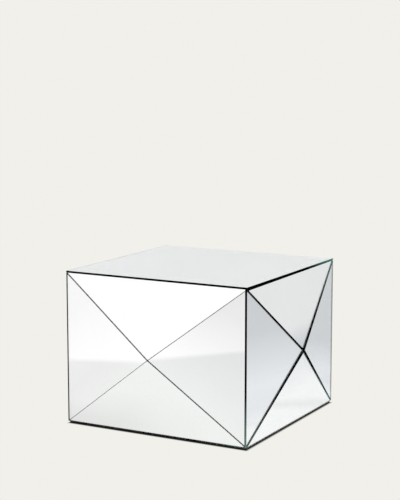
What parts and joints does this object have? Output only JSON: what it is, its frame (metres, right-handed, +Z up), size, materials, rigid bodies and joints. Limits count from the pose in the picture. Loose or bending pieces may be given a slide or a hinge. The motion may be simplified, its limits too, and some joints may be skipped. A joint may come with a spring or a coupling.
{
  "type": "mirrored block side table",
  "caption": "Square block side table faced in mirror glass, each side four triangular plates rising to a shallow point, on recessed screw-in levelling feet.",
  "frame": {"origin": "on the floor, under the middle of the table", "axes": "+Z up, -Y towards the front side, +X towards the right side"},
  "size_m": [0.6656, 0.6656, 0.457],
  "materials": {
    "mirror": "silvered, polished",
    "fibreboard": "raw fibreboard",
    "black_paint": "matt black paint",
    "steel": "zinc plated",
    "brass": "machined",
    "nylon": "moulded"
  },
  "bodies": {
    "cabinet": {"top_mirror": "mirror", "front_mirror_upper": "mirror", "front_mirror_right": "mirror", "front_mirror_lower": "mirror", "front_mirror_left": "mirror", "right_mirror_upper": "mirror", "right_mirror_right": "mirror", "right_mirror_lower": "mirror", "right_mirror_left": "mirror", "back_mirror_upper": "mirror", "back_mirror_right": "mirror", "back_mirror_lower": "mirror", "back_mirror_left": "mirror", "left_mirror_upper": "mirror", "left_mirror_right": "mirror", "left_mirror_lower": "mirror", "left_mirror_left": "mirror", "front_board_upper": "black_paint", "front_board_right": "black_paint", "front_board_lower": "black_paint", "front_board_left": "black_paint", "front_apex_block": "fibreboard", "right_board_upper": "black_paint", "right_board_right": "black_paint", "right_board_lower": "black_paint", "right_board_left": "black_paint", "right_apex_block": "fibreboard", "back_board_upper": "black_paint", "back_board_right": "black_paint", "back_board_lower": "black_paint", "back_board_left": "black_paint", "back_apex_block": "fibreboard", "left_board_upper": "black_paint", "left_board_right": "black_paint", "left_board_lower": "black_paint", "left_board_left": "black_paint", "left_apex_block": "fibreboard", "deck_board": "fibreboard", "base_board": "fibreboard", "bottom_sheet": "black_paint", "front_panel": "fibreboard", "back_panel": "fibreboard", "left_panel": "fibreboard", "right_panel": "fibreboard", "front_left_corner_post": "fibreboard", "front_right_corner_post": "fibreboard", "back_right_corner_post": "fibreboard", "back_left_corner_post": "fibreboard", "front_left_foot_insert": "brass", "front_right_foot_insert": "brass", "back_right_foot_insert": "brass", "back_left_foot_insert": "brass"},
    "front_left_foot": {"front_left_foot_pad": "nylon"},
    "front_left_stud": {"front_left_foot_stud": "steel"},
    "front_right_foot": {"front_right_foot_pad": "nylon"},
    "front_right_stud": {"front_right_foot_stud": "steel"},
    "back_right_foot": {"back_right_foot_pad": "nylon"},
    "back_right_stud": {"back_right_foot_stud": "steel"},
    "back_left_foot": {"back_left_foot_pad": "nylon"},
    "back_left_stud": {"back_left_foot_stud": "steel"}
  },
  "joints": [
    {"name": "front_left_foot_slide", "type": "slide", "parent": "cabinet", "child": "front_left_foot", "axis": [0, 0, -1], "range_m": [0, 0.01]},
    {"name": "front_left_foot_turn", "type": "hinge", "parent": "front_left_foot", "child": "front_left_stud", "pos_m": [-0.2202, -0.2202, 0.02], "axis": [0, 0, -1], "range_deg": [0, 2880]},
    {"name": "front_right_foot_slide", "type": "slide", "parent": "cabinet", "child": "front_right_foot", "axis": [0, 0, -1], "range_m": [0, 0.01]},
    {"name": "front_right_foot_turn", "type": "hinge", "parent": "front_right_foot", "child": "front_right_stud", "pos_m": [0.2202, -0.2202, 0.02], "axis": [0, 0, -1], "range_deg": [0, 2880]},
    {"name": "back_right_foot_slide", "type": "slide", "parent": "cabinet", "child": "back_right_foot", "axis": [0, 0, -1], "range_m": [0, 0.01]},
    {"name": "back_right_foot_turn", "type": "hinge", "parent": "back_right_foot", "child": "back_right_stud", "pos_m": [0.2202, 0.2202, 0.02], "axis": [0, 0, -1], "range_deg": [0, 2880]},
    {"name": "back_left_foot_slide", "type": "slide", "parent": "cabinet", "child": "back_left_foot", "axis": [0, 0, -1], "range_m": [0, 0.01]},
    {"name": "back_left_foot_turn", "type": "hinge", "parent": "back_left_foot", "child": "back_left_stud", "pos_m": [-0.2202, 0.2202, 0.02], "axis": [0, 0, -1], "range_deg": [0, 2880]}
  ],
  "couplings": [
    {"joint": "front_left_foot_slide", "follows": "front_left_foot_turn", "m_per_rad": 0.00019894},
    {"joint": "front_right_foot_slide", "follows": "front_right_foot_turn", "m_per_rad": 0.00019894},
    {"joint": "back_right_foot_slide", "follows": "back_right_foot_turn", "m_per_rad": 0.00019894},
    {"joint": "back_left_foot_slide", "follows": "back_left_foot_turn", "m_per_rad": 0.00019894}
  ]
}
